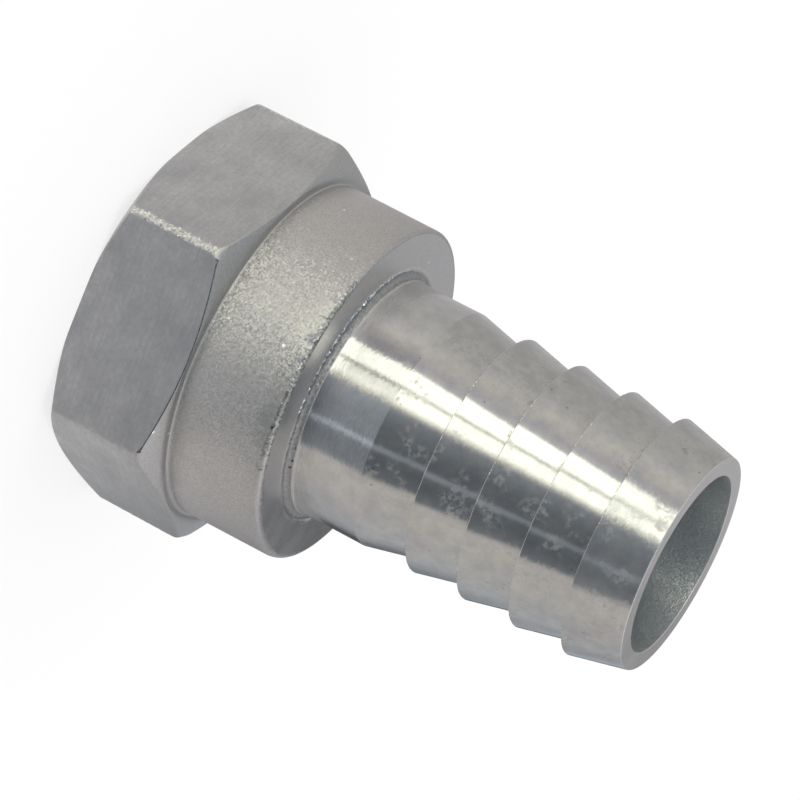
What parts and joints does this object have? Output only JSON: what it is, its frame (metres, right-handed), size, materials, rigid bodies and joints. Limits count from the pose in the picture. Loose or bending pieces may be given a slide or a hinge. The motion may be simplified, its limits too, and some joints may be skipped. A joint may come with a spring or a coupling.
{
  "type": "female threaded hose nipple",
  "caption": "One-piece steel hose nipple: a chamfered hexagon and cast collar with a threaded socket, and a straight barbed tail with a through passage.",
  "frame": {"origin": "centre of the mouth face, at the hexagon's end, on which the fitting stands", "axes": "+Z along the fitting from the threaded mouth to the tip of the hose tail, +X through a corner of the hexagon"},
  "size_m": [0.047, 0.041, 0.0642],
  "materials": {
    "cast_steel": "blasted casting with a linished hexagon and a turned tail"
  },
  "bodies": {
    "root": {"hose_nipple": "cast_steel"}
  },
  "joints": []
}
